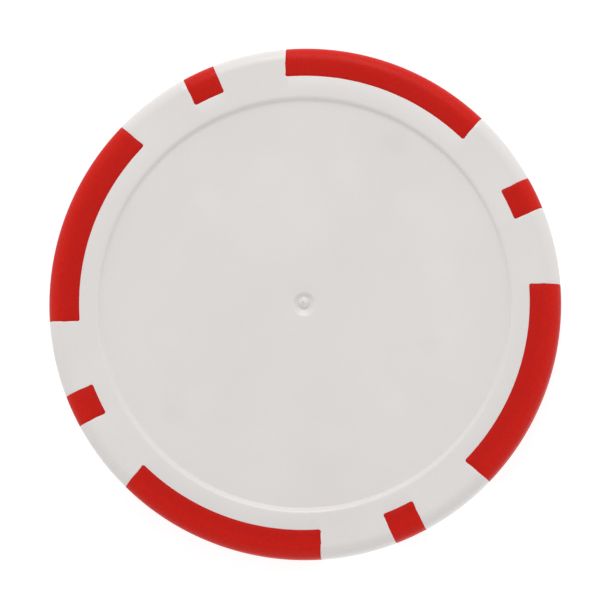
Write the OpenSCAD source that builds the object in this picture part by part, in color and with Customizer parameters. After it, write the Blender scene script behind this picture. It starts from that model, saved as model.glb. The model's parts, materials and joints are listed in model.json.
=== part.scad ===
// Golf ball marker in the form of a poker chip.
// A white moulded body encloses a perforated steel weight and carries eight red inserts round its
// edge. Each insert runs through the whole thickness, so it shows on both faces and on the side wall.
// The chip lies flat with its front face up. +Z points out of the front face, and the origin is the
// centre of the back rim plane. The short inserts lie on the X and Y axes, the long ones between them.

/* [Chip] */
// Outer diameter of the chip
chip_d = 40; // [39.5:0.1:43]
// Thickness from rim to rim
chip_t = 3.3; // [3.2:0.1:3.8]
// Radius that rounds each rim into the side wall
edge_r = 1; // [0.5:0.1:1.2]

/* [Label recess] */
// Diameter of the flat floor for a label, the same on both faces
recess_d = 31.7; // [30:0.1:32]
// Depth of the floor below the rim
recess_depth = 0.3; // [0.1:0.05:0.4]
// Radius that rounds the rim down to the floor
lip_r = 0.6; // [0.4:0.05:0.8]

/* [Gate mark] */
// Diameter of the dimple where the plastic was injected, at the centre of the front face
dimple_d = 1.9; // [1.4:0.1:2.4]
// Depth of the dimple below the floor
dimple_depth = 0.2; // [0.15:0.05:0.4]
// Diameter of the torn nub that stands in the dimple
nub_d = 0.7; // [0.4:0.02:0.8]
// How far the top of the nub stays below the floor
nub_drop = 0.03; // [0.02:0.01:0.15]

/* [Edge inserts] */
// How far every insert reaches in from the side wall
insert_depth = 2.35; // [2:0.05:2.5]
// Width of a short insert
short_w = 2.55; // [2:0.05:4]
// Angle that a long insert takes up on the side wall
long_angle = 48; // [36:1:56]
// Angle that each end of a long insert leans in from the radius
end_lean = 5; // [2:0.5:8]
// Radius of the inner corners of every insert
corner_r = 0.2; // [0.1:0.05:0.4]

/* [Insert keys] */
// Thickness of the hidden dovetail that locks an insert in the body
key_t = 1.1; // [0.8:0.1:1.4]
// How far the dovetail reaches in past the insert
key_reach = 1.4; // [1:0.1:1.5]
// Angle that each side of the dovetail spreads
key_flare = 15; // [8:1:20]
// Share of the insert's inner width that the root of the dovetail takes up
key_share = 0.55; // [0.4:0.05:0.7]

/* [Steel weight] */
// Diameter of the weight
weight_d = 29.2; // [27:0.1:29.4]
// Thickness of the weight
weight_t = 1.8; // [1.4:0.1:1.8]
// Chamfer left on its stamped edges
weight_chamfer = 0.1; // [0.05:0.05:0.2]
// Number of holes that the plastic flows through
hole_count = 12; // [6:1:16]
// Diameter of those holes
hole_d = 2; // [1.5:0.1:3]
// Diameter of the circle that they lie on
hole_circle_d = 22; // [18:0.5:24]
// Diameter of the hole under the gate
centre_hole_d = 4; // [3:0.5:8]
// Turn of the weight from the first short insert, which follows how it lay in the mould
weight_turn = 18.5; // [0:0.5:30]

/* [Hidden] */
$fn = 96;

overcut = 1;
chip_r = chip_d / 2;
mid_z = chip_t / 2;
insert_r = chip_r - insert_depth;
key_r = insert_r - key_reach;
quarter_turn = 90;
long_half_angle = long_angle / 2;

// Distance from the axis to the point where the lip meets the flat rim
lip_centre_r = recess_d / 2 + sqrt(pow(lip_r, 2) - pow(lip_r - recess_depth, 2));

// The two ends of a long insert lie on lines that cross behind the axis, at this X, at this angle to X
end_angle = long_half_angle - end_lean;
end_apex_x = chip_r * cos(long_half_angle) - chip_r * sin(long_half_angle) / tan(end_angle);

// Angle to the centre of a long insert's rounded corner, which lies corner_r inside the end line
corner_apex_x = end_apex_x + corner_r / sin(end_angle);
corner_reach = sqrt(pow(insert_r + corner_r, 2) - pow(corner_apex_x * sin(end_angle), 2))
    - corner_apex_x * cos(end_angle);
corner_angle = atan2(corner_reach * sin(end_angle), corner_apex_x + corner_reach * cos(end_angle));

// Half the width of a dovetail where it leaves its insert
long_key_half_w = key_share * insert_r * sin(corner_angle);
short_key_half_w = key_share * short_w / 2;

// Radius of the sphere that cuts the dimple
dimple_sphere_r = (pow(dimple_d / 2, 2) + pow(dimple_depth, 2)) / (2 * dimple_depth);

// Half section of one face: what is cut from the square edge to leave the recess, the lip and the rounding
module face_cut() {
    difference() {
        translate([-overcut, chip_t - recess_depth])
            square([lip_centre_r + overcut, recess_depth + overcut]);
        translate([lip_centre_r, chip_t - lip_r])
            circle(lip_r);
    }
    difference() {
        translate([chip_r - edge_r, chip_t - edge_r])
            square(edge_r + overcut);
        translate([chip_r - edge_r, chip_t - edge_r])
            circle(edge_r);
    }
}

// The whole chip as one solid, with both recesses and rounded edges
module chip_blank() {
    rotate_extrude()
        difference() {
            square([chip_r, chip_t]);
            face_cut();
            translate([0, chip_t])
                mirror([0, 1])
                    face_cut();
        }
}

// Ring from a radius to outside the chip
module band(inner_r) {
    difference() {
        circle(chip_r + overcut);
        circle(inner_r);
    }
}

// Wedge that opens along +X from its apex
module wedge(apex_x, half_angle) {
    reach = 3 * chip_r;
    polygon([
        [apex_x, 0],
        [apex_x + reach * cos(half_angle), -reach * sin(half_angle)],
        [apex_x + reach * cos(half_angle), reach * sin(half_angle)]
    ]);
}

// Outline of a long insert, centred on +X and open past the side wall
module long_plan() {
    intersection() {
        band(insert_r + corner_r);
        wedge(end_apex_x, end_angle);
    }
    intersection() {
        band(insert_r);
        wedge(0, corner_angle);
    }
    for (side = [-1, 1])
        rotate(side * corner_angle)
            translate([insert_r + corner_r, 0])
                circle(corner_r);
}

// Outline of a short insert, centred on +X and open past the side wall
module short_plan() {
    translate([insert_r + corner_r, -short_w / 2])
        square([insert_depth + overcut, short_w]);
    translate([insert_r, corner_r - short_w / 2])
        square([insert_depth + overcut, short_w - 2 * corner_r]);
    for (side = [-1, 1])
        translate([insert_r + corner_r, side * (short_w / 2 - corner_r)])
            circle(corner_r);
}

// Dovetail that reaches in from an insert, centred on +X, at the middle of the thickness
module key(root_half_w) {
    inner_x = key_r * 0.8;
    outer_x = insert_r + corner_r;
    spread = tan(key_flare);
    inner_half_w = root_half_w + (insert_r - inner_x) * spread;
    outer_half_w = root_half_w - corner_r * spread;
    translate([0, 0, mid_z - key_t / 2])
        linear_extrude(key_t)
            intersection() {
                difference() {
                    circle(insert_r + corner_r);
                    circle(key_r);
                }
                polygon([
                    [inner_x, -inner_half_w], [outer_x, -outer_half_w],
                    [outer_x, outer_half_w], [inner_x, inner_half_w]
                ]);
            }
}

// Column over an insert's outline, taller than the chip
module column() {
    translate([0, 0, -overcut])
        linear_extrude(chip_t + 2 * overcut)
            children();
}

// Centre lines of the inserts, counted from 1
module at_long(number) {
    rotate((number - 0.5) * quarter_turn)
        children();
}

module at_short(number) {
    rotate((number - 1) * quarter_turn)
        children();
}

// One of the four long stripes on the edge
module long_insert(number) {
    color("firebrick")
        at_long(number) {
            intersection() {
                chip_blank();
                column() long_plan();
            }
            key(long_key_half_w);
        }
}

// One of the four short blocks on the edge
module short_insert(number) {
    color("firebrick")
        at_short(number) {
            intersection() {
                chip_blank();
                column() short_plan();
            }
            key(short_key_half_w);
        }
}

// Stamped steel disc, with a ring of holes and one in the middle that the plastic fills
module steel_weight() {
    weight_r = weight_d / 2;
    half_t = weight_t / 2;
    color("slategray")
        translate([0, 0, mid_z])
            rotate(weight_turn)
                difference() {
                    rotate_extrude()
                        polygon([
                            [0, -half_t], [weight_r - weight_chamfer, -half_t],
                            [weight_r, weight_chamfer - half_t], [weight_r, half_t - weight_chamfer],
                            [weight_r - weight_chamfer, half_t], [0, half_t]
                        ]);
                    cylinder(h = weight_t + overcut, d = centre_hole_d, center = true);
                    for (turn = [0 : hole_count - 1])
                        rotate(turn * 360 / hole_count)
                            translate([hole_circle_d / 2, 0, 0])
                                cylinder(h = weight_t + overcut, d = hole_d, center = true);
                }
}

// Pocket for each insert and its key, cut right through the edge
module insert_pockets() {
    for (number = [1 : 4]) {
        at_long(number) {
            column() long_plan();
            key(long_key_half_w);
        }
        at_short(number) {
            column() short_plan();
            key(short_key_half_w);
        }
    }
}

// White moulding that closes round the weight and fills its holes
module chip_body() {
    floor_z = chip_t - recess_depth;
    nub_base_z = floor_z - dimple_depth - nub_drop;
    color("whitesmoke") {
        difference() {
            chip_blank();
            insert_pockets();
            steel_weight();
            translate([0, 0, floor_z - dimple_depth + dimple_sphere_r])
                sphere(dimple_sphere_r);
        }
        translate([0, 0, nub_base_z])
            cylinder(h = dimple_depth, d = nub_d);
    }
}

chip_body();
steel_weight();
for (number = [1 : 4]) {
    long_insert(number);
    short_insert(number);
}
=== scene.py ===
import json
import math
import bmesh
import bpy
from mathutils import Matrix, Vector

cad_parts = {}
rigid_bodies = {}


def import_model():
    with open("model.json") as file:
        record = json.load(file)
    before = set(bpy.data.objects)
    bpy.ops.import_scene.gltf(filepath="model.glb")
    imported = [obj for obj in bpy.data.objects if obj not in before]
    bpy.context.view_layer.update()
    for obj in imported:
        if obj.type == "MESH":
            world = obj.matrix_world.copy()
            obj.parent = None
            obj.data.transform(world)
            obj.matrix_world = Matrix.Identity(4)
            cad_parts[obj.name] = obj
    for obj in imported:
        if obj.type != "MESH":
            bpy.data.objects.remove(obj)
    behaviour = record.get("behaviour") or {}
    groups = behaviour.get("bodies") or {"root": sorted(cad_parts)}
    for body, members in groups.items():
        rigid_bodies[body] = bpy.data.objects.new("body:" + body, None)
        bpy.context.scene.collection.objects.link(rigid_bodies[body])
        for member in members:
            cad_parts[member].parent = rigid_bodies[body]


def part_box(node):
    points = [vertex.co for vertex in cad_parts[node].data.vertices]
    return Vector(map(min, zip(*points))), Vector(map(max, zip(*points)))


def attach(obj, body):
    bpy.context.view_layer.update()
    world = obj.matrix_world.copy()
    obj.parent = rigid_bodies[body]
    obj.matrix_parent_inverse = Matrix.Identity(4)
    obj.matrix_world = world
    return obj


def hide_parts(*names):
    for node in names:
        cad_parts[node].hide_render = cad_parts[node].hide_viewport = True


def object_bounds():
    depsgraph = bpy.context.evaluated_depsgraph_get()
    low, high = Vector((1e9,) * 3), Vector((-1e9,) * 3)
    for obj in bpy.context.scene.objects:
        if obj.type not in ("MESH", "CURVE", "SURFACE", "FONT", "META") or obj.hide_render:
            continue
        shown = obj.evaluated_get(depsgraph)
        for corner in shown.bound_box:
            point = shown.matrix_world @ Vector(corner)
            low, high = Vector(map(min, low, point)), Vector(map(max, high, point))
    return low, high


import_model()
cadLow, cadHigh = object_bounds()

# Poker-chip ball marker, lying face up. A quarter of the chip is spun from its section, its red
# sectors are parted off along the seams, and every piece is closed with the key that holds it in.

mm = 0.001
hair = 0.001 * mm           # points closer than this are one point
closeBy = 0.004 * mm        # how far off its place a point may lie and still be picked
sharp = math.radians(60)    # edges that turn by more than this are bevelled
smoothUnder = math.radians(50)  # edges that turn by less than this are shaded smooth
quarterTurn = 90
chipRadius = round((cadHigh.x - cadLow.x) / 2, 5)
chipThick = round(cadHigh.z, 5)
midHeight = chipThick / 2
weightLow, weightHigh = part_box("steel_weight")
weightThick = weightHigh.z - weightLow.z


def activate(*pieces):
    # selects these pieces alone, with the last one active
    bpy.ops.object.select_all(action="DESELECT")
    for piece in pieces:
        piece.select_set(True)
    bpy.context.view_layer.objects.active = pieces[-1]


def editPiece(piece):
    activate(piece)
    bpy.ops.object.mode_set(mode="EDIT")


def objectMode():
    bpy.ops.object.mode_set(mode="OBJECT")


def pick(kind, test):
    # selects the points, edges or faces that pass the test
    mesh = bpy.context.edit_object.data
    bpy.ops.mesh.select_mode(type=kind)
    bpy.ops.mesh.select_all(action="DESELECT")
    shape = bmesh.from_edit_mesh(mesh)
    parts = {"VERT": shape.verts, "EDGE": shape.edges, "FACE": shape.faces}[kind]
    found = [part for part in parts if test(part)]
    for part in found:
        part.select_set(True)
    shape.select_flush_mode()
    bmesh.update_edit_mesh(mesh)
    return len(found)


def near(a, b, gap=closeBy):
    return abs(a - b) < gap


def outFrom(point):
    return math.hypot(point.co.x, point.co.y)


def angleOf(point):
    return math.degrees(math.atan2(point.co.y, point.co.x))


def onCircle(degrees, radius, height):
    way = math.radians(degrees)
    return Vector((radius * math.cos(way), radius * math.sin(way), height))


def turn(degrees, centre=(0, 0, 0)):
    # with no window, rotate and spin both run clockwise for a positive angle
    bpy.ops.transform.rotate(value=-math.radians(degrees), orient_axis="Z", center_override=centre)


def spinOn(degrees, steps):
    bpy.ops.mesh.spin(steps=steps, angle=-math.radians(degrees), center=(0, 0, 0), axis=(0, 0, 1))


def addCut(place, across):
    bpy.ops.mesh.select_all(action="SELECT")
    bpy.ops.mesh.bisect(plane_co=place, plane_no=across, threshold=hair)


# Section of the chip
section = {
    "innerRadius": 3 * mm,      # the middle is closed afterwards
    "lipFoot": 15.95 * mm,      # where the recess floor meets the ramp of the lip
    "lipHead": 16.2 * mm,       # where the ramp meets the rim
    "recessDepth": 0.3 * mm,
    "lipRound": 0.16 * mm,
    "footRound": 0.08 * mm,
    "edgeRound": 1 * mm,
    "lipSteps": 8,
    "footSteps": 4,
    "edgeSteps": 14,
    # rings of edges, as distances from the axis, that keep the flat floor and the flat rim flat
    "plainRings": (8 * mm, 12 * mm),
    "floorRing": 15.5 * mm,
    "rimRing": 16.6 * mm,
    "seamRadius": 17.65 * mm,   # inner side of every red insert
    "driftRings": (18.05 * mm, 18.45 * mm, 18.85 * mm),  # where the seams drift sideways
    "lipShift": 0.12 * mm,      # the front recess sits this far off the middle
    "lipShiftTurn": -93,
    "partingHigh": 0.012 * mm,  # witness line where the mould halves met
    "partingHalf": 0.05 * mm,
}


def shiftRecess(piece):
    # moves the front lip, with the flat rings on both sides of it left where they are
    s = section
    editPiece(piece)
    pick("VERT", lambda v: s["floorRing"] + hair < outFrom(v) < s["rimRing"] - hair
         and v.co.z > midHeight)
    bpy.ops.transform.translate(value=onCircle(s["lipShiftTurn"], s["lipShift"], 0))
    objectMode()


def makeSection():
    s = section
    width = chipRadius - s["innerRadius"]
    middle = ((chipRadius + s["innerRadius"]) / 2, 0, midHeight)
    bpy.ops.object.select_all(action="DESELECT")
    bpy.ops.mesh.primitive_plane_add(size=1, location=middle, rotation=(math.pi / 2, 0, 0))
    piece = bpy.context.object
    bpy.ops.object.transform_apply(location=True, rotation=True, scale=True)
    editPiece(piece)
    bpy.ops.mesh.select_all(action="SELECT")
    bpy.ops.transform.resize(value=(width, 1, chipThick), center_override=middle)

    # recess: the inner stretch drops on both faces, with a ramp up to the rim
    addCut((s["lipFoot"], 0, 0), (1, 0, 0))
    addCut((s["lipHead"], 0, 0), (1, 0, 0))
    rampMiddle = (s["lipFoot"] + s["lipHead"]) / 2
    for side in (1, -1):
        pick("VERT", lambda v: v.co.x < rampMiddle and side * (v.co.z - midHeight) > 0)
        bpy.ops.transform.translate(value=(0, 0, -side * s["recessDepth"]))
    bpy.ops.mesh.select_all(action="SELECT")
    bpy.ops.mesh.dissolve_faces()

    # roundings of the edge, the head and the foot of the lip
    for corner, rounding, steps in ((chipRadius, s["edgeRound"], s["edgeSteps"]),
                                    (s["lipHead"], s["lipRound"], s["lipSteps"]),
                                    (s["lipFoot"], s["footRound"], s["footSteps"])):
        pick("VERT", lambda v: near(v.co.x, corner))
        bpy.ops.mesh.bevel(offset=rounding, segments=steps, affect="VERTICES")

    for ring in (*s["plainRings"], s["floorRing"], s["rimRing"], s["seamRadius"], *s["driftRings"]):
        addCut((ring, 0, 0), (1, 0, 0))
    for height in (-s["partingHalf"], 0, s["partingHalf"]):
        addCut((0, 0, midHeight + height), (0, 0, 1))

    # only the outline stays, open towards the axis
    bpy.ops.mesh.select_mode(type="FACE")
    bpy.ops.mesh.select_all(action="SELECT")
    bpy.ops.mesh.region_to_loop()
    bpy.ops.mesh.select_all(action="INVERT")
    bpy.ops.mesh.delete(type="EDGE")
    pick("EDGE", lambda e: all(near(v.co.x, s["innerRadius"]) for v in e.verts))
    bpy.ops.mesh.delete(type="EDGE")
    pick("VERT", lambda v: near(v.co.x, chipRadius) and near(v.co.z, midHeight))
    bpy.ops.transform.translate(value=(s["partingHigh"], 0, 0))
    objectMode()
    return piece


# Seams between the white and the red, in degrees from the +X axis
seams = {
    "shortHalf": math.degrees(math.asin(1.275 * mm / chipRadius)),  # half of a 2.55 mm block
    "longMiddle": 45.0,
    "longHalf": 24.0,
    "longLean": 5.0,            # each end of a long insert leans in from the radius
    "column": 1.22,             # widest step between two columns of faces
    "cornerRound": 0.2 * mm,
    "cornerSteps": 4,
    "seamBevel": 0.018 * mm,    # both plastics are drawn back a hair at the seam
    "bevelSteps": 2,
    # how far each pair of seams drifts sideways where it crosses the rings, as hot red plastic does
    "shortDrift": ((0.03 * mm, 0.012 * mm, -0.02 * mm), (-0.015 * mm, -0.035 * mm, -0.012 * mm)),
    "longDrift": ((0.022 * mm, 0.032 * mm, 0.01 * mm), (-0.028 * mm, -0.008 * mm, 0.018 * mm)),
}
seams["short"] = (-seams["shortHalf"], seams["shortHalf"])
seams["long"] = (seams["longMiddle"] - seams["longHalf"], seams["longMiddle"] + seams["longHalf"])
# the quarter starts in the middle of the white between two inserts
seams["start"] = (seams["shortHalf"] + seams["long"][0]) / 2 - seams["long"][0] - seams["shortHalf"]

# Key that holds an insert: a tongue from the middle third of its back wall
keys = {
    "reach": 1.4 * mm,
    "shortRoot": 2.5,           # degrees each side of the insert's middle
    "longRoot": 13.3,
    "shortFlare": 1.1,
    "longFlare": 2.6,
    "halfHeight": chipThick / 6,
}

# How far from its place a point of a seam, wall or key may lie and still be picked: the first six
# in degrees, the others as a length
slack = {
    "onColumn": 0.01,
    "onTongue": 0.02,
    "pastSeam": 0.1,
    "drifted": 0.15,
    "besideKey": 0.3,
    "besideSector": 0.9,
    "wall": 0.03 * mm,
    "nudgedWall": 0.05 * mm,
    "nudgedKey": 0.1 * mm,
}


def spinQuarter(piece):
    editPiece(piece)
    bpy.ops.mesh.select_all(action="SELECT")
    turn(seams["start"])
    at = seams["start"]
    for stop in (*seams["short"], *seams["long"], seams["start"] + quarterTurn):
        spinOn(stop - at, math.ceil((stop - at) / seams["column"]))
        at = stop
    bpy.ops.mesh.select_all(action="SELECT")
    bpy.ops.mesh.remove_doubles(threshold=hair)
    objectMode()


def partOff(piece, pair, name):
    # the skin outside the seam radius, between two seams, becomes a piece of its own
    editPiece(piece)
    low, high = pair[0] - slack["pastSeam"], pair[1] + slack["pastSeam"]
    pick("FACE", lambda f: all(
        outFrom(v) > section["seamRadius"] - 2 * hair and low < angleOf(v) < high for v in f.verts))
    known = set(bpy.data.objects)
    bpy.ops.mesh.separate(type="SELECTED")
    objectMode()
    part = next(o for o in bpy.data.objects if o not in known)
    part.name = part.data.name = name
    return part


def leanSeams(piece):
    # the seams of a short insert run parallel, those of a long one lean in, and all drift a little
    editPiece(piece)
    for pair, lean, drifts in ((seams["short"], seams["shortHalf"], seams["shortDrift"]),
                               (seams["long"], seams["longLean"], seams["longDrift"])):
        for seam, way, drift in zip(pair, (1, -1), drifts):
            for ring, aside in zip(section["driftRings"], drift):
                if pick("VERT", lambda v: near(angleOf(v), seam, slack["onColumn"])
                        and near(outFrom(v), ring)):
                    turn(math.degrees(aside / ring))
            corner = Matrix.Rotation(math.radians(seam), 3, "Z") @ Vector((chipRadius, 0, 0))
            if pick("VERT", lambda v: near(angleOf(v), seam, slack["drifted"])
                    and outFrom(v) > section["seamRadius"] - 2 * hair):
                turn(way * lean, corner)
    objectMode()


def closeSector(piece, pair, root, flare):
    # walls between the front and the back skin, and the tongue or the slot of the key
    seamRadius = section["seamRadius"]
    middle = sum(pair) / 2
    halfWidth = (pair[1] - pair[0]) / 2

    def inSector(v):
        return abs(angleOf(v) - middle) < halfWidth + slack["besideSector"]

    def onBackWall(v):
        return near(outFrom(v), seamRadius, slack["wall"]) and inSector(v)

    editPiece(piece)
    pick("EDGE", lambda e: e.is_boundary and all(onBackWall(v) for v in e.verts))
    bpy.ops.mesh.bridge_edge_loops(number_cuts=2)
    for way in (-1, 1):
        pick("EDGE", lambda e: e.is_boundary and all(
            inSector(v) and outFrom(v) > seamRadius - slack["wall"] and way * (angleOf(v) - middle) > 0
            for v in e.verts))
        bpy.ops.mesh.edge_face_add()

    # the tongue is drawn in from the middle third of the wall, then its end is flared
    keyHalf = keys["halfHeight"] + hair
    pick("FACE", lambda f: all(
        onBackWall(v) and abs(v.co.z - midHeight) < keyHalf and abs(angleOf(v) - middle) < root
        for v in f.verts))
    bpy.ops.mesh.extrude_region_move()
    shrink = 1 - keys["reach"] / seamRadius
    bpy.ops.transform.resize(value=(shrink, shrink, 1), center_override=(0, 0, midHeight))
    tongueEnd = seamRadius * shrink
    ends = sorted({round(angleOf(v), 2) for v in bmesh.from_edit_mesh(piece.data).verts if v.select})
    for end, way in ((ends[0], -1), (ends[-1], 1)):
        pick("VERT", lambda v: near(outFrom(v), tongueEnd, slack["wall"])
             and near(angleOf(v), end, slack["onTongue"]) and abs(v.co.z - midHeight) < keyHalf)
        turn(way * flare)

    # inner corners, rounded from front to back
    def onCorner(e):
        a, b = e.verts
        upright = near(a.co.x, b.co.x) and near(a.co.y, b.co.y)
        return upright and onBackWall(a) and abs(angleOf(a) - middle) > halfWidth - slack["pastSeam"]

    pick("EDGE", onCorner)
    bpy.ops.mesh.bevel(offset=seams["cornerRound"], segments=seams["cornerSteps"], affect="EDGES")
    bpy.ops.mesh.select_all(action="SELECT")
    bpy.ops.mesh.normals_make_consistent(inside=False)
    pick("EDGE", lambda e: len(e.link_faces) == 2 and e.calc_face_angle() > sharp)
    bpy.ops.mesh.bevel(
        offset=seams["seamBevel"], segments=seams["bevelSteps"], affect="EDGES", clamp_overlap=False)
    objectMode()


# How each insert came out of the mould: degrees it is turned by, and how far its back wall moved out
uneven = {
    "long_insert_1": (0.14, 0.108 * mm),
    "long_insert_2": (0, -0.083 * mm),
    "long_insert_3": (-0.15, 0.097 * mm),
    "long_insert_4": (0, -0.027 * mm),
    "short_insert_1": (0.39, 0),
    "short_insert_2": (-0.24, 0),
    "short_insert_3": (0.05, 0),
    "short_insert_4": (-0.34, 0),
}


def nudgeInsert(piece, node):
    # moves the walls of one insert, or those of its pocket in the body, in the same way
    family, number = node.split("_insert_")
    pair = seams[family]
    middle = sum(pair) / 2 + (int(number) - 1) * quarterTurn
    halfWidth = (pair[1] - pair[0]) / 2 + slack["besideSector"]
    keyWidth = keys[family + "Root"] + keys[family + "Flare"] + slack["besideKey"]
    seamRadius = section["seamRadius"]
    turnBy, outBy = uneven[node]

    def aside(v):
        return abs((angleOf(v) - middle + 180) % 360 - 180)

    def onWall(v, reach):
        return seamRadius - slack["nudgedWall"] < outFrom(v) < reach and aside(v) < halfWidth

    def onKey(v):
        inThird = abs(v.co.z - midHeight) < keys["halfHeight"] + slack["nudgedWall"]
        inReach = seamRadius - keys["reach"] - slack["nudgedKey"] < outFrom(v) < seamRadius
        return inThird and inReach and aside(v) < keyWidth

    editPiece(piece)
    pick("VERT", lambda v: onWall(v, 2 * chipRadius) or onKey(v))
    turn(turnBy)
    grow = 1 + outBy / seamRadius
    pick("VERT", lambda v: onWall(v, seamRadius + seams["cornerRound"] + slack["wall"]))
    bpy.ops.transform.resize(value=(grow, grow, 1), center_override=(0, 0, 0))
    objectMode()


# Stamped steel weight, sealed in the white plastic
weight = {
    "columns": 160,
    "holes": 12,
    "holeCircle": 11 * mm,
    "holeRadius": 1 * mm,
    "middleRadius": 2 * mm,
    "holeColumns": 40,
    "punchOver": 2 * mm,        # the punch is this much longer than the disc is thick
    "turn": 18.5,
    "breakShare": 0.62,         # share of the thickness that tore off below the cut
    "breakSpread": 0.035 * mm,
    "breakRamp": 0.1 * mm,      # length over which the cut widens to the break
    "rollOver": 0.1 * mm,       # rounded on the side that the punch came from
    "rollSteps": 3,
    "burr": 0.03 * mm,
    "burrSteps": 1,
}


def addCutter(radius, place):
    # one punch, a little wider below the break
    w = weight
    bpy.ops.object.select_all(action="DESELECT")
    middle = (place.x, place.y, midHeight)
    bpy.ops.mesh.primitive_cylinder_add(
        vertices=w["holeColumns"], radius=radius, depth=weightThick + w["punchOver"],
        end_fill_type="NGON", location=middle)
    cutter = bpy.context.object
    bpy.ops.object.transform_apply(location=True, rotation=True, scale=True)
    editPiece(cutter)
    breakAt = weightHigh.z - (1 - w["breakShare"]) * weightThick
    for height in (breakAt, breakAt - w["breakRamp"]):
        addCut((0, 0, height), (0, 0, 1))
    pick("VERT", lambda v: v.co.z < breakAt - hair)
    spread = 1 + w["breakSpread"] / radius
    bpy.ops.transform.resize(value=(spread, spread, 1), center_override=middle)
    objectMode()
    return cutter


def makeWeight():
    w = weight
    radius = round(weightHigh.x, 5)
    bpy.ops.object.select_all(action="DESELECT")
    bpy.ops.mesh.primitive_cylinder_add(
        vertices=w["columns"], radius=radius, depth=weightThick, end_fill_type="NGON",
        location=(0, 0, midHeight))
    disc = bpy.context.object
    disc.name = disc.data.name = "steelWeight"
    bpy.ops.object.transform_apply(location=True, rotation=True, scale=True)

    # one punch for all the holes
    cutters = [addCutter(w["middleRadius"], Vector((0, 0, 0)))]
    for count in range(w["holes"]):
        way = w["turn"] + count * 360 / w["holes"]
        cutters.append(addCutter(w["holeRadius"], onCircle(way, w["holeCircle"], 0)))
    activate(*cutters[1:], cutters[0])
    bpy.ops.object.join()
    punch = bpy.context.object

    activate(disc)
    bpy.ops.object.modifier_add(type="BOOLEAN")
    cut = disc.modifiers[-1]
    cut.operation = "DIFFERENCE"
    cut.solver = "EXACT"
    cut.object = punch
    bpy.ops.object.modifier_apply(modifier=cut.name)
    bpy.data.objects.remove(punch)

    editPiece(disc)
    for height, size, steps in ((weightHigh.z, w["rollOver"], w["rollSteps"]),
                                (weightLow.z, w["burr"], w["burrSteps"])):
        pick("EDGE", lambda e: all(near(v.co.z, height) for v in e.verts)
             and len(e.link_faces) == 2 and e.calc_face_angle() > sharp)
        bpy.ops.mesh.bevel(offset=size, segments=steps, affect="EDGES")
    objectMode()
    return disc


# Gate mark: a dimple with the torn stub of the sprue in it
gate = {
    "columns": 77,
    "rim": 1.0 * mm,
    # the dimple's bottom, the stub's shoulder, its top and the pit: distance from the middle, depth
    # below the floor, steps on the way there
    "stops": [(0.49 * mm, 0.22 * mm, 11), (0.27 * mm, 0.05 * mm, 8), (0.13 * mm, 0.0, 5),
              (0.04 * mm, 0.035 * mm, 4)],
    "pitTurn": 155,             # the pit in the stub lies off its middle, this way
    "pitShift": 0.04 * mm,
    "tearTurn": -70,            # the stub tore lower on this side, for this many degrees each way
    "tearHalf": 32,
    "tearFrom": 1.4,            # and from this many times its top's radius
    "tearDrop": 0.015 * mm,
    "tearRough": 0.007 * mm,
    "tearSeed": 4,
}


def addGate(piece):
    g = gate
    floor = chipThick - section["recessDepth"]
    # the wall of the dimple starts off the middle with the recess, and ends round the stub
    middle = onCircle(section["lipShiftTurn"], section["lipShift"], 0)
    editPiece(piece)
    bpy.ops.mesh.select_all(action="DESELECT")
    bpy.ops.mesh.primitive_circle_add(
        vertices=g["columns"], radius=g["rim"], fill_type="NOTHING", location=(middle.x, middle.y, floor))
    lastRadius, lastDeep = g["rim"], 0
    for radius, deep, steps in g["stops"]:
        fromRadius, fromDeep, fromMiddle = lastRadius, lastDeep, middle
        for step in range(1, steps + 1):
            share = step / steps
            eased = share * share * (3 - 2 * share)
            newRadius = fromRadius + (radius - fromRadius) * share
            newDeep = fromDeep + (deep - fromDeep) * eased
            shrink = newRadius / lastRadius
            bpy.ops.mesh.extrude_edges_move()
            newMiddle = fromMiddle * (1 - share)
            bpy.ops.transform.resize(value=(shrink, shrink, 1), center_override=middle)
            bpy.ops.transform.translate(value=newMiddle - middle + Vector((0, 0, lastDeep - newDeep)))
            lastRadius, lastDeep, middle = newRadius, newDeep, newMiddle
    bpy.ops.mesh.edge_face_add()
    bottom, shoulder, top = (stop[0] for stop in g["stops"][:3])

    def onStub(v, reach):
        return v.co.z > midHeight and outFrom(v) < reach

    pick("VERT", lambda v: onStub(v, top + hair))
    bpy.ops.transform.translate(value=onCircle(g["pitTurn"], g["pitShift"], 0))
    pick("VERT", lambda v: onStub(v, shoulder + hair) and outFrom(v) > top * g["tearFrom"]
         and abs(angleOf(v) - g["tearTurn"]) < g["tearHalf"])
    bpy.ops.transform.translate(value=(0, 0, -g["tearDrop"]))
    pick("VERT", lambda v: onStub(v, (bottom + shoulder) / 2))
    bpy.ops.transform.vertex_random(offset=g["tearRough"], uniform=1.0, seed=g["tearSeed"])

    # the front floor closes up to the dimple, and the back floor right across
    pick("EDGE", lambda e: e.is_boundary and all(v.co.z > midHeight for v in e.verts))
    bpy.ops.mesh.bridge_edge_loops()
    pick("EDGE", lambda e: e.is_boundary)
    bpy.ops.mesh.edge_face_add()
    bpy.ops.mesh.select_all(action="SELECT")
    bpy.ops.mesh.normals_make_consistent(inside=False)
    objectMode()


quarter = makeSection()
print("section drawn:", len(quarter.data.vertices), "points")
spinQuarter(quarter)
shortInsert = partOff(quarter, seams["short"], "shortInsert")
longInsert = partOff(quarter, seams["long"], "longInsert")
for piece, names in ((quarter, ("short", "long")), (shortInsert, ("short",)), (longInsert, ("long",))):
    leanSeams(piece)
    for name in names:
        closeSector(piece, seams[name], keys[name + "Root"], keys[name + "Flare"])
print("quarter spun, inserts parted off and keyed")

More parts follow.
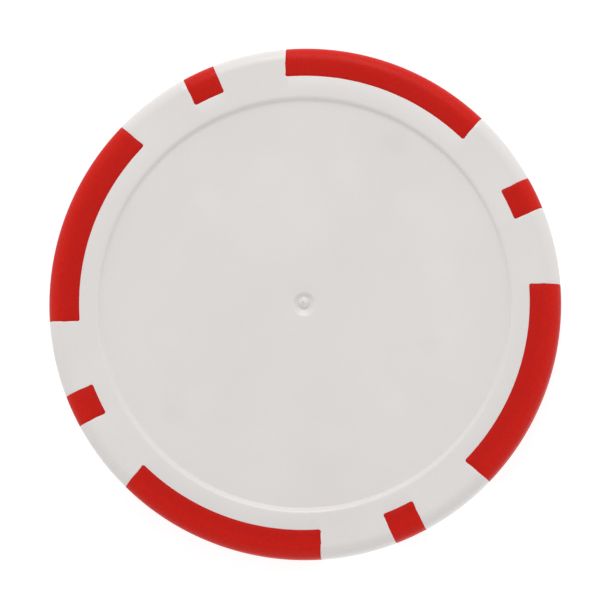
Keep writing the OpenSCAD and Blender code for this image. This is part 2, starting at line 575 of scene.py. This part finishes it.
# three more quarters, then each pocket is set as its insert lies
chipBody = quarter
chipBody.name = chipBody.data.name = "chipBody"
editPiece(chipBody)
bpy.ops.mesh.select_all(action="SELECT")
bpy.ops.mesh.spin(
    steps=3, angle=math.radians(3 * quarterTurn), center=(0, 0, 0), axis=(0, 0, 1), dupli=True)
bpy.ops.mesh.select_all(action="SELECT")
bpy.ops.mesh.remove_doubles(threshold=hair)
objectMode()
for node in uneven:
    nudgeInsert(chipBody, node)
addGate(chipBody)
shiftRecess(chipBody)
print("white body closed, gate mark made")
steelWeight = makeWeight()
print("steel weight stamped")

# the weight's own shape, turned inside out, is the space that it fills in the white plastic
activate(steelWeight)
bpy.ops.object.duplicate()
hollow = bpy.context.object
editPiece(hollow)
bpy.ops.mesh.select_all(action="SELECT")
bpy.ops.mesh.flip_normals()
objectMode()
activate(hollow, chipBody)
bpy.ops.object.join()


def smoothPiece(piece):
    # flat bands stay flat next to the roundings
    activate(piece)
    bpy.ops.object.shade_smooth_by_angle(angle=smoothUnder)
    bpy.ops.object.modifier_add(type="WEIGHTED_NORMAL")
    weighted = piece.modifiers[-1]
    weighted.keep_sharp = True
    bpy.ops.object.modifier_apply(modifier=weighted.name)


def copyTurned(piece, degrees, name):
    # a copy with a mesh of its own, turned about the chip's axis
    activate(piece)
    bpy.ops.object.duplicate()
    twin = bpy.context.object
    twin.name = twin.data.name = name
    twin.rotation_euler[2] = math.radians(degrees)
    bpy.ops.object.transform_apply(location=True, rotation=True, scale=True)
    return twin


inserts = []
for piece, family in ((longInsert, "long_insert_"), (shortInsert, "short_insert_")):
    for count in range(1, 5):
        node = family + str(count)
        twin = copyTurned(piece, (count - 1) * quarterTurn, node.replace("_insert_", "Insert"))
        nudgeInsert(twin, node)
        inserts.append((twin, node))
    bpy.data.objects.remove(piece)
for piece in (chipBody, steelWeight, *(twin for twin, node in inserts)):
    smoothPiece(piece)
print("inserts copied round the edge:", len(inserts))


def hexColour(code):
    # sRGB hex to the linear colour that the shader works in
    parts = [int(code[i:i + 2], 16) / 255 for i in (1, 3, 5)]
    return [*((c / 12.92 if c <= 0.04045 else ((c + 0.055) / 1.055) ** 2.4) for c in parts), 1]


def addNode(tree, kind, settings=None, inputs=None):
    node = tree.nodes.new(kind)
    for name, value in (settings or {}).items():
        setattr(node, name, value)
    for name, value in (inputs or {}).items():
        if isinstance(value, bpy.types.NodeSocket):
            tree.links.new(value, node.inputs[name])
        else:
            node.inputs[name].default_value = value
    return node


def newMaterial(name):
    made = bpy.data.materials.new(name)
    made.use_nodes = True
    tree = made.node_tree
    tree.nodes.clear()
    return made, tree


# settings of a mix of two colours, which go in sockets 6 and 7 and come out of output 2
colourMix = {"data_type": "RGBA"}
noiseSpread = (0.3, 0.7)  # most of a noise lies between these


# ABS filled with titanium white and injection moulded in satin-polished steel: an opaque, slightly
# warm off-white with a soft sheen, faint flow clouds and barely any texture of its own
whiteAbs = {
    "base": "#D2CDCB",
    "cloud": "#D7D4D2",
    "wornAndPaintedLight": "#D3CFCD",          # the rim: paler where chips rub on each other, and painted light on the outer rounding
    "speck": "#9D958E",
    "roughness": 0.4,
    "specular": 0.4,
    "speckShare": 0.35,
    "fleck": "#C6C1BC",
    "fleckShare": 0.12,
}
# ABS with an iron-free red pigment, moulded against the white: a deep, even scarlet whose rim is
# rubbed a little paler and carries painted light on the outer rounding
redAbs = {
    "base": "#B4130A",
    "cloud": "#BA160C",
    # paler rim: rubbed wear, and painted light on the outer rounding
    "wornAndPaintedLight": "#C3190E",
    "speck": "#7A0D0A",
    "roughness": 0.48,
    "specular": 0.11,
    "speckShare": 0.25,
    "fleck": "#9C110A",
    "fleckShare": 0.36,
}
# sizes that both plastics share
plastic = {
    "cloudSize": 7 * mm,
    # the rim grows paler from here to there: rubbed wear, and painted light on the outer rounding
    "wornAndPaintedLightFrom": 18.3 * mm,
    "wornAndPaintedLightTo": 19.7 * mm,
    "speckGap": 2.4 * mm,
    "speckRadius": 0.05 * mm,
    "speckCore": 0.4,           # share of a speck that has its full colour
    "speckSkip": 0.7,           # share of the cells that have no speck
    "grainSize": 0.2 * mm,      # mould polish, drawn coarser than it is so that it shows
    "grainHigh": 0.0016 * mm,
    "fleckFrom": 0.4,           # stretch of the grain that turns into flecks of colour
    "fleckTo": 0.75,
    "sinkSize": 4 * mm,         # slow waves left as the plastic cools
    "sinkHigh": 0.006 * mm,
    "ior": 1.53,
    "handled": 0.05,            # how much rougher or smoother handling makes it from place to place
    "scratchRough": 0.12,
    "scratchLong": 5 * mm,
    "scratchWide": 0.07 * mm,
    "scratchDeep": 0.002 * mm,
    "scratchTurns": (28, 97, 151),
}


def addAxisDistance(tree, place):
    flat = addNode(tree, "ShaderNodeVectorMath", {"operation": "MULTIPLY"}, {0: place, 1: (1, 1, 0)})
    outward = addNode(tree, "ShaderNodeVectorMath", {"operation": "LENGTH"}, {0: flat.outputs["Vector"]})
    return outward.outputs["Value"]


scratchLimits = (0.7, 0.78)  # where a drawn-out noise turns into a hairline


def addScratches(tree, place, look):
    # hairlines in a few directions, each a noise drawn out along its length
    found = None
    for turnBy in look["scratchTurns"]:
        laid = addNode(tree, "ShaderNodeMapping", None, {
            "Vector": place, "Rotation": (0, 0, math.radians(turnBy)), "Location": (turnBy * mm, 0, 0),
            "Scale": (1 / look["scratchLong"], 1 / look["scratchWide"], 1 / look["scratchLong"])})
        drawn = addNode(tree, "ShaderNodeTexNoise", None, {
            "Vector": laid.outputs["Vector"], "Scale": 1.0, "Detail": 1.0})
        line = addNode(tree, "ShaderNodeMapRange", None, {
            "Value": drawn.outputs["Fac"], "From Min": scratchLimits[0], "From Max": scratchLimits[1]})
        if found is None:
            found = line.outputs["Result"]
        else:
            found = addNode(tree, "ShaderNodeMath", {"operation": "MAXIMUM"}, {
                0: found, 1: line.outputs["Result"]}).outputs["Value"]
    return found


# Marks in the white that follow the weight and the handling
marks = {
    "hole": "#E2DFDD",
    "holeCore": 0.5 * mm,
    "holeReach": 1.7 * mm,
    "holeShare": 0.09,
    "smudge": "#B9B5B3",
    "wander": 1.2 * mm,
    "wanderSize": 1.5 * mm,
    # distance from the axis, degrees from +X, reach and strength of each smudge
    "smudges": [(14.3 * mm, 35.4, 1.8 * mm, 0.16), (10.4 * mm, -42.7, 1.5 * mm, 0.12),
                (13.2 * mm, 194.5, 1.8 * mm, 0.12)],
}


def addWeightMarks(tree, place, colour):
    # paler round spots over the holes of the weight, where the white is thicker: the holes are
    # folded onto the first one, so that one distance draws all the spots
    parts = addNode(tree, "ShaderNodeSeparateXYZ", None, {"Vector": place})
    around = addNode(tree, "ShaderNodeMath", {"operation": "ARCTAN2"}, {
        0: parts.outputs["Y"], 1: parts.outputs["X"]})
    fromHole = addNode(tree, "ShaderNodeMath", {"operation": "SUBTRACT"}, {
        0: around.outputs["Value"], 1: math.radians(weight["turn"])})
    half = math.pi / weight["holes"]
    folded = addNode(tree, "ShaderNodeMath", {"operation": "WRAP"}, {
        0: fromHole.outputs["Value"], 1: half, 2: -half})
    across = addNode(tree, "ShaderNodeMath", {"operation": "MULTIPLY"}, {
        0: folded.outputs["Value"], 1: weight["holeCircle"]})
    local = addNode(tree, "ShaderNodeCombineXYZ", None, {
        "X": addAxisDistance(tree, place), "Y": across.outputs["Value"]})
    toHole = addNode(tree, "ShaderNodeVectorMath", {"operation": "DISTANCE"}, {
        0: local.outputs["Vector"], 1: (weight["holeCircle"], 0, 0)})
    spot = addNode(tree, "ShaderNodeMapRange", {"interpolation_type": "SMOOTHSTEP"}, {
        "Value": toHole.outputs["Value"], "From Min": marks["holeCore"], "From Max": marks["holeReach"],
        "To Min": marks["holeShare"], "To Max": 0.0})
    colour = addNode(tree, "ShaderNodeMix", colourMix, {
        "Factor": spot.outputs["Result"], 6: colour, 7: hexColour(marks["hole"])}).outputs[2]

    # faint grey smudges on the front, with a wandering outline
    wander = addNode(tree, "ShaderNodeTexNoise", None, {
        "Vector": place, "Scale": 1 / marks["wanderSize"]})
    strayed = addNode(tree, "ShaderNodeVectorMath", {"operation": "MULTIPLY_ADD"}, {
        0: wander.outputs["Color"], 1: (marks["wander"],) * 3, 2: place})
    for radius, degrees, reach, share in marks["smudges"]:
        middle = onCircle(degrees, radius, chipThick) + Vector((marks["wander"] / 2,) * 3)
        toSmudge = addNode(tree, "ShaderNodeVectorMath", {"operation": "DISTANCE"}, {
            0: strayed.outputs["Vector"], 1: middle})
        smudge = addNode(tree, "ShaderNodeMapRange", {"interpolation_type": "SMOOTHSTEP"}, {
            "Value": toSmudge.outputs["Value"], "From Min": 0.0, "From Max": reach,
            "To Min": share, "To Max": 0.0})
        colour = addNode(tree, "ShaderNodeMix", colourMix, {
            "Factor": smudge.outputs["Result"], 6: colour, 7: hexColour(marks["smudge"])}).outputs[2]
    return colour


def makeAbs(name, look, addMarks=None):
    made, tree = newMaterial(name)
    place = addNode(tree, "ShaderNodeTexCoord").outputs["Object"]
    p = plastic
    cloud = addNode(tree, "ShaderNodeTexNoise", None, {
        "Vector": place, "Scale": 1 / p["cloudSize"], "Detail": 3.0, "Roughness": 0.45})
    colour = addNode(tree, "ShaderNodeMix", colourMix, {
        "Factor": cloud.outputs["Fac"], 6: hexColour(look["base"]), 7: hexColour(look["cloud"])}).outputs[2]

    # the rim grows paler towards the edge: partly rubbed wear, partly painted light on the outer rounding
    wornAndPaintedLight = addNode(tree, "ShaderNodeMapRange", {"interpolation_type": "SMOOTHSTEP"}, {
        "Value": addAxisDistance(tree, place), "From Min": p["wornAndPaintedLightFrom"], "From Max": p["wornAndPaintedLightTo"]})
    colour = addNode(tree, "ShaderNodeMix", colourMix, {
        "Factor": wornAndPaintedLight.outputs["Result"], 6: colour, 7: hexColour(look["wornAndPaintedLight"])}).outputs[2]
    if addMarks:
        colour = addMarks(tree, place, colour)
    grain = addNode(tree, "ShaderNodeTexNoise", None, {
        "Vector": place, "Scale": 1 / p["grainSize"], "Detail": 2.0})
    fleck = addNode(tree, "ShaderNodeMapRange", None, {
        "Value": grain.outputs["Fac"], "From Min": p["fleckFrom"], "From Max": p["fleckTo"],
        "To Max": look["fleckShare"]})
    colour = addNode(tree, "ShaderNodeMix", colourMix, {
        "Factor": fleck.outputs["Result"], 6: colour, 7: hexColour(look["fleck"])}).outputs[2]

    cells = addNode(tree, "ShaderNodeTexVoronoi", None, {"Vector": place, "Scale": 1 / p["speckGap"]})
    speck = addNode(tree, "ShaderNodeMapRange", None, {
        "Value": cells.outputs["Distance"], "From Min": p["speckRadius"] / p["speckGap"],
        "From Max": p["speckCore"] * p["speckRadius"] / p["speckGap"]})
    draw = addNode(tree, "ShaderNodeSeparateColor", None, {"Color": cells.outputs["Color"]})
    chosen = addNode(tree, "ShaderNodeMath", {"operation": "GREATER_THAN"}, {
        0: draw.outputs["Red"], 1: p["speckSkip"]})
    kept = addNode(tree, "ShaderNodeMath", {"operation": "MULTIPLY"}, {
        0: speck.outputs["Result"], 1: chosen.outputs["Value"]})
    faint = addNode(tree, "ShaderNodeMath", {"operation": "MULTIPLY"}, {
        0: kept.outputs["Value"], 1: look["speckShare"]})
    colour = addNode(tree, "ShaderNodeMix", colourMix, {
        "Factor": faint.outputs["Value"], 6: colour, 7: hexColour(look["speck"])}).outputs[2]

    # satin moulding that handling has polished in places and scratched in others
    scratches = addScratches(tree, place, p)
    handled = addNode(tree, "ShaderNodeMapRange", None, {
        "Value": cloud.outputs["Fac"], "From Min": noiseSpread[0], "From Max": noiseSpread[1],
        "To Min": look["roughness"] - p["handled"], "To Max": look["roughness"] + p["handled"]})
    rough = addNode(tree, "ShaderNodeMath", {"operation": "MULTIPLY_ADD"}, {
        0: scratches, 1: p["scratchRough"], 2: handled.outputs["Result"]})

    sink = addNode(tree, "ShaderNodeTexNoise", None, {
        "Vector": place, "Scale": 1 / p["sinkSize"], "Detail": 1.0})
    waves = addNode(tree, "ShaderNodeBump", None, {
        "Height": sink.outputs["Fac"], "Distance": p["sinkHigh"], "Strength": 1.0})
    texture = addNode(tree, "ShaderNodeBump", None, {
        "Height": grain.outputs["Fac"], "Distance": p["grainHigh"], "Strength": 1.0,
        "Normal": waves.outputs["Normal"]})
    cuts = addNode(tree, "ShaderNodeBump", {"invert": True}, {
        "Height": scratches, "Distance": p["scratchDeep"], "Strength": 1.0,
        "Normal": texture.outputs["Normal"]})
    shader = addNode(tree, "ShaderNodeBsdfPrincipled", None, {
        "Base Color": colour, "Roughness": rough.outputs["Value"], "IOR": p["ior"],
        "Specular IOR Level": look["specular"], "Normal": cuts.outputs["Normal"]})
    addNode(tree, "ShaderNodeOutputMaterial", None, {"Surface": shader.outputs["BSDF"]})
    return made


# Cold-rolled mild steel strip, stamped and barrel-tumbled: a cool grey metal with fine straight
# rolling lines, hairline scratches and slightly darker patches left by the rolling oil
rolledSteel = {
    "base": "#AFB0B2",
    "oiled": "#9A9894",
    "oilSize": 3.5 * mm,
    "oilFrom": 0.45,            # stretch of the oil's noise that darkens the metal
    "oilTo": 0.75,
    "oilRough": 0.1,
    "roughness": 0.36,
    "lineSmooth": 0.06,         # how much smoother and rougher than that the rolling lines are
    "lineRough": 0.08,
    "lineGap": 0.12 * mm,
    "lineLong": 9 * mm,
    "lineDeep": 0.002 * mm,
    "scratchLong": 2.5 * mm,
    "scratchWide": 0.06 * mm,
    "scratchDeep": 0.004 * mm,
    "scratchTurns": (12, 64, 118),
}


def makeSteel(name):
    made, tree = newMaterial(name)
    place = addNode(tree, "ShaderNodeTexCoord").outputs["Object"]
    look = rolledSteel
    oil = addNode(tree, "ShaderNodeTexNoise", None, {
        "Vector": place, "Scale": 1 / look["oilSize"], "Detail": 3.0})
    patch = addNode(tree, "ShaderNodeMapRange", None, {
        "Value": oil.outputs["Fac"], "From Min": look["oilFrom"], "From Max": look["oilTo"]})
    colour = addNode(tree, "ShaderNodeMix", colourMix, {
        "Factor": patch.outputs["Result"], 6: hexColour(look["base"]), 7: hexColour(look["oiled"])})
    rolled = addNode(tree, "ShaderNodeMapping", None, {
        "Vector": place, "Rotation": (0, 0, math.radians(weight["turn"])),
        "Scale": (1 / look["lineLong"], 1 / look["lineGap"], 1 / look["lineGap"])})
    lines = addNode(tree, "ShaderNodeTexNoise", None, {
        "Vector": rolled.outputs["Vector"], "Scale": 1.0, "Detail": 3.0})
    scratches = addScratches(tree, place, look)
    matt = addNode(tree, "ShaderNodeMapRange", None, {
        "Value": lines.outputs["Fac"], "From Min": noiseSpread[0], "From Max": noiseSpread[1],
        "To Min": look["roughness"] - look["lineSmooth"],
        "To Max": look["roughness"] + look["lineRough"]})
    rough = addNode(tree, "ShaderNodeMath", {"operation": "MULTIPLY_ADD"}, {
        0: patch.outputs["Result"], 1: look["oilRough"], 2: matt.outputs["Result"]})
    strip = addNode(tree, "ShaderNodeBump", None, {
        "Height": lines.outputs["Fac"], "Distance": look["lineDeep"], "Strength": 1.0})
    cuts = addNode(tree, "ShaderNodeBump", {"invert": True}, {
        "Height": scratches, "Distance": look["scratchDeep"], "Strength": 1.0,
        "Normal": strip.outputs["Normal"]})
    shader = addNode(tree, "ShaderNodeBsdfPrincipled", None, {
        "Base Color": colour.outputs[2], "Metallic": 1.0, "Roughness": rough.outputs["Value"],
        "Normal": cuts.outputs["Normal"]})
    addNode(tree, "ShaderNodeOutputMaterial", None, {"Surface": shader.outputs["BSDF"]})
    return made


whiteMaterial = makeAbs("injectionMouldedWhiteAbs", whiteAbs, addWeightMarks)
redMaterial = makeAbs("overmouldedRedAbs", redAbs)
steelMaterial = makeSteel("stampedRolledSteel")
print("finishes made")


def finishPiece(piece, node, material):
    piece.data.materials.clear()
    piece.data.materials.append(material)
    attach(piece, "root")
    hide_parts(node)


finishPiece(chipBody, "chip_body", whiteMaterial)
finishPiece(steelWeight, "steel_weight", steelMaterial)
for piece, node in inserts:
    finishPiece(piece, node, redMaterial)
print("pieces finished:", 2 + len(inserts))

# Studio: the chip lies on an opal board, in a white tent with four softboxes
studio = {
    "floorSize": 3.0,
    "floorColour": "#8C8C8C",
    "floorGlow": 0.84,
    "floorRoughness": 0.9,
    "floorSpecular": 0.2,
    "tentColour": "#FFFFFF",
    "tentTop": 0.9,             # from the horizon up to here the tent fades from low to high
    "tentLow": 1.15,
    "tentHigh": 0.46,
    "upTurn": 64.8,             # this way round the chip is up in the main view
    "viewTurn": -75.6,          # the camera stands off the axis this way
    "viewTilt": 6.0,
    "viewDistance": 0.62,
    "viewWidth": 47.66 * mm,
    "viewRaise": 0.07 * mm,     # how far the chip stands above the middle of the main view
    "sensor": 36,
    "clip": (0.01, 20),
    "boxDistance": 0.8,
    # name, degrees round from the up side, elevation, width and power in watts of each softbox
    "softboxes": [
        ("keyLight", 0, 43, 0.45, 3.15),
        ("leftFill", 90, 40, 0.6, 0.57),
        ("rightFill", -90, 40, 0.6, 0.57),
        ("lowFill", 180, 30, 0.6, 0.62),
    ],
}

# opal acrylic board lit from below: an even white that keeps hardly any shadow
bpy.ops.object.select_all(action="DESELECT")
bpy.ops.mesh.primitive_plane_add(size=studio["floorSize"], location=(0, 0, 0))
floor = bpy.context.object
floor.name = "floor"
floorMaterial, floorTree = newMaterial("opalBoard")
floorShader = addNode(floorTree, "ShaderNodeBsdfPrincipled", None, {
    "Base Color": hexColour(studio["floorColour"]), "Roughness": studio["floorRoughness"],
    "Specular IOR Level": studio["floorSpecular"], "Emission Color": hexColour(studio["tentColour"]),
    "Emission Strength": studio["floorGlow"]})
addNode(floorTree, "ShaderNodeOutputMaterial", None, {"Surface": floorShader.outputs["BSDF"]})
floor.data.materials.append(floorMaterial)

world = bpy.data.worlds.new("studio")
bpy.context.scene.world = world
world.use_nodes = True
tent = world.node_tree
tent.nodes.clear()
skyWay = addNode(tent, "ShaderNodeTexCoord").outputs["Generated"]
skyHeight = addNode(tent, "ShaderNodeSeparateXYZ", None, {"Vector": skyWay}).outputs["Z"]
glow = addNode(tent, "ShaderNodeMapRange", {"interpolation_type": "SMOOTHSTEP"}, {
    "Value": skyHeight, "From Min": 0.0, "From Max": studio["tentTop"],
    "To Min": studio["tentLow"], "To Max": studio["tentHigh"]})
backdrop = addNode(tent, "ShaderNodeBackground", None, {
    "Color": hexColour(studio["tentColour"]), "Strength": glow.outputs["Result"]})
addNode(tent, "ShaderNodeOutputWorld", None, {"Surface": backdrop.outputs["Background"]})


def addSoftbox(name, degrees, elevation, size, power):
    distance = studio["boxDistance"]
    lift = math.radians(elevation)
    away = onCircle(studio["upTurn"] + degrees, distance * math.cos(lift), distance * math.sin(lift))
    bpy.ops.object.light_add(type="AREA", location=away)
    box = bpy.context.object
    box.name = name
    box.rotation_euler = away.to_track_quat("Z", "Y").to_euler()
    box.data.shape = "DISK"
    box.data.size = size
    box.data.energy = power


for softbox in studio["softboxes"]:
    addSoftbox(*softbox)

bpy.ops.object.camera_add()
camera = bpy.context.object
lookAt = Vector((0, 0, midHeight)) - onCircle(studio["upTurn"], studio["viewRaise"], 0)
tilt = math.radians(studio["viewTilt"])
away = onCircle(studio["viewTurn"], math.sin(tilt), math.cos(tilt))
side = onCircle(studio["upTurn"] - 90, 1, 0)
side = (side - away * side.dot(away)).normalized()
camera.matrix_world = Matrix.Translation(lookAt + away * studio["viewDistance"]) @ Matrix(
    (side, away.cross(side), away)).transposed().to_4x4()
camera.data.sensor_width = studio["sensor"]
camera.data.lens = camera.data.sensor_width * studio["viewDistance"] / studio["viewWidth"]
camera.data.clip_start, camera.data.clip_end = studio["clip"]
bpy.context.scene.camera = camera
bpy.context.scene.view_settings.view_transform = "Standard"
print("studio lit, camera set")
